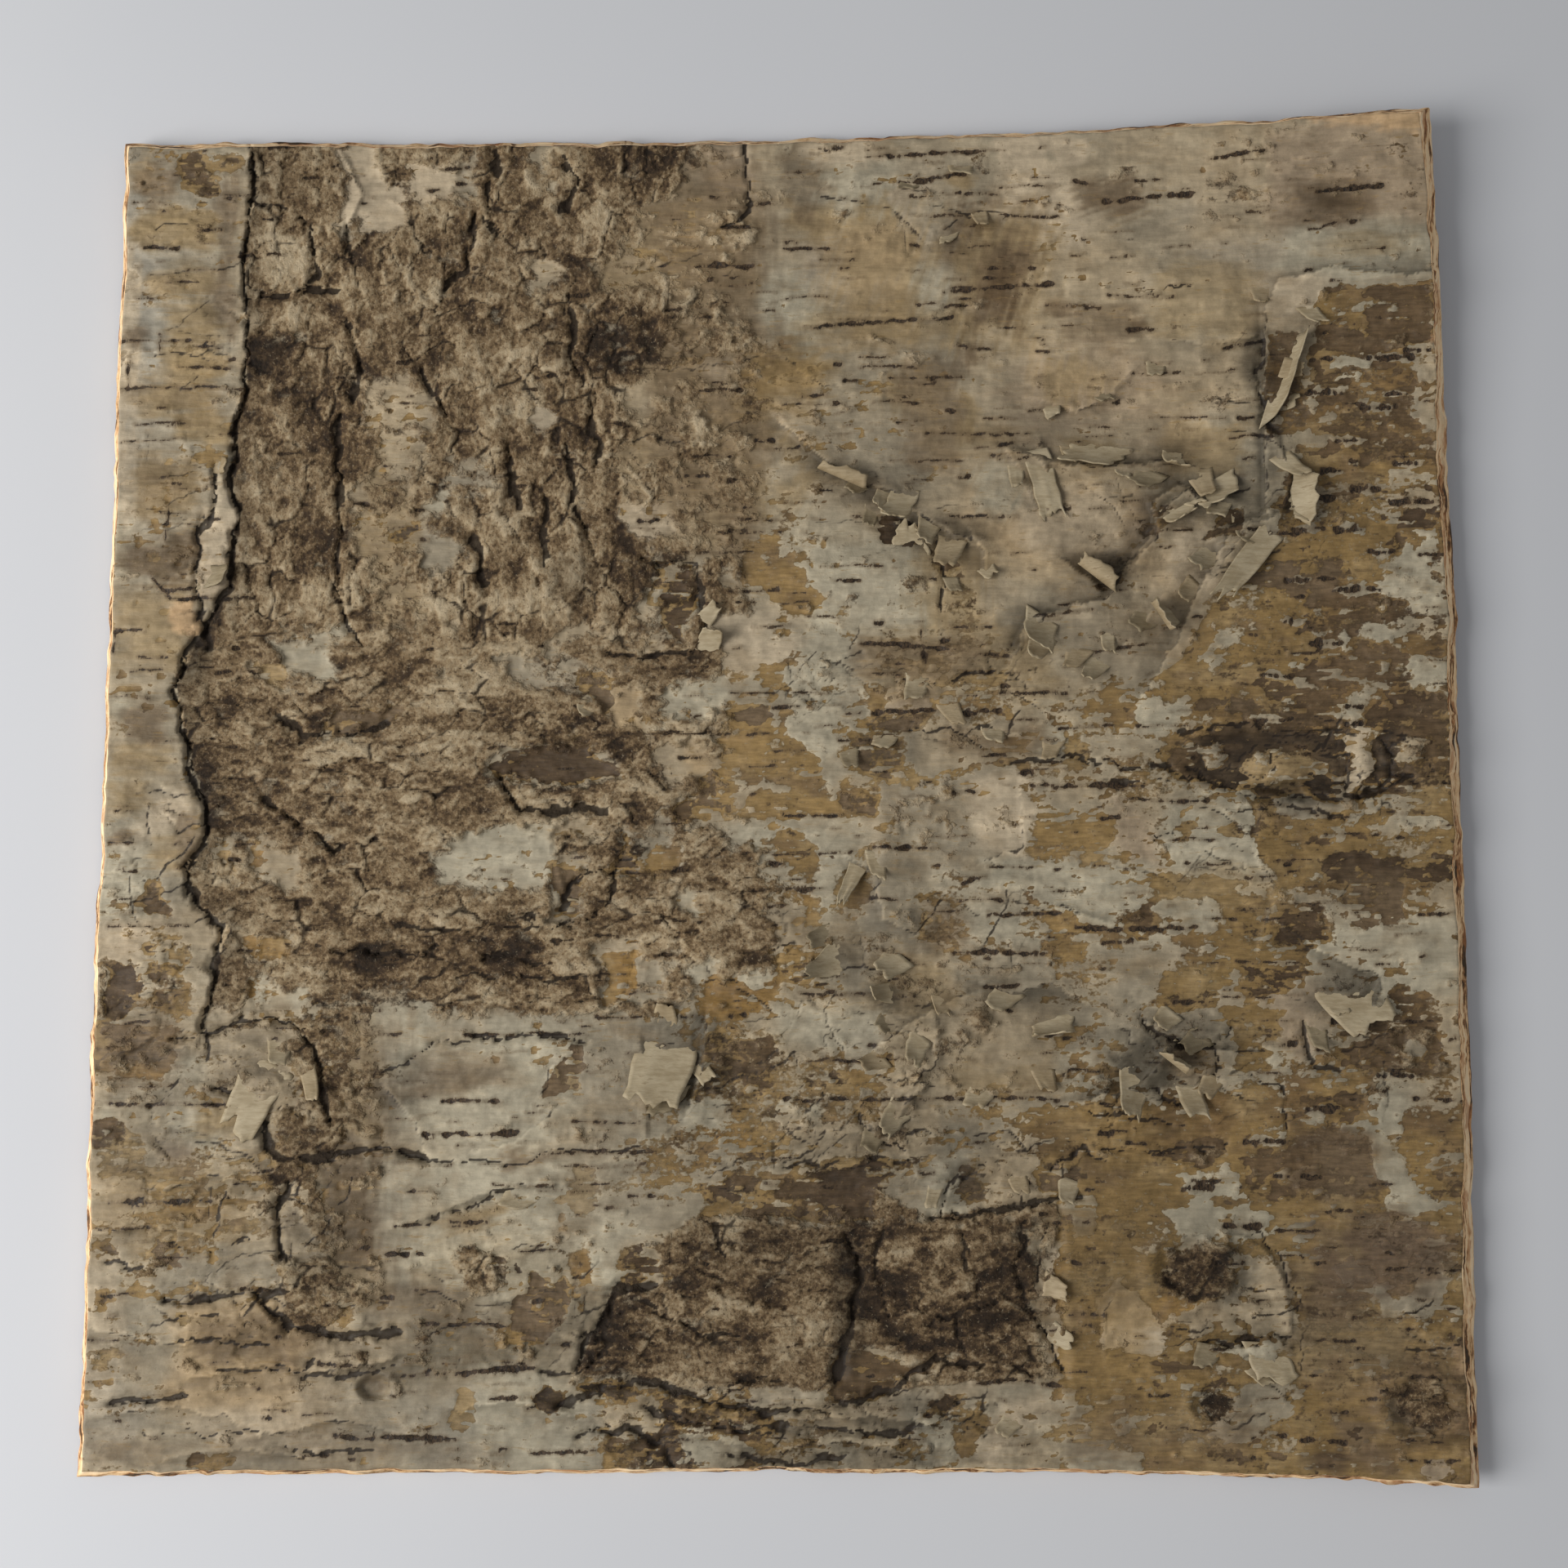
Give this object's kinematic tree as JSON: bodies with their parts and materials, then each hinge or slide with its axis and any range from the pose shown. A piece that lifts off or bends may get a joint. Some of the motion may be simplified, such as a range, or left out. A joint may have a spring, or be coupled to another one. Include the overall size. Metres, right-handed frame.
{
  "type": "piece of bark",
  "caption": "Flat square sheet of birch bark with a rough furrowed crust on one side and smooth peeling skin with curls and knots on the other.",
  "frame": {"origin": "on the flat spot in the middle of the underside, which lies on the table", "axes": "+Z out of the outer face of the bark, +X to the right and +Y to the top of the sheet, with the rough crust at the left"},
  "size_m": [0.3009, 0.3008, 0.0138],
  "materials": {
    "birch_bark": "matt, layered and weathered: cream and grey papery skin, tan and brown peeled layers, dark cracks"
  },
  "bodies": {
    "root": {"bark_sheet": "birch_bark"}
  },
  "joints": []
}
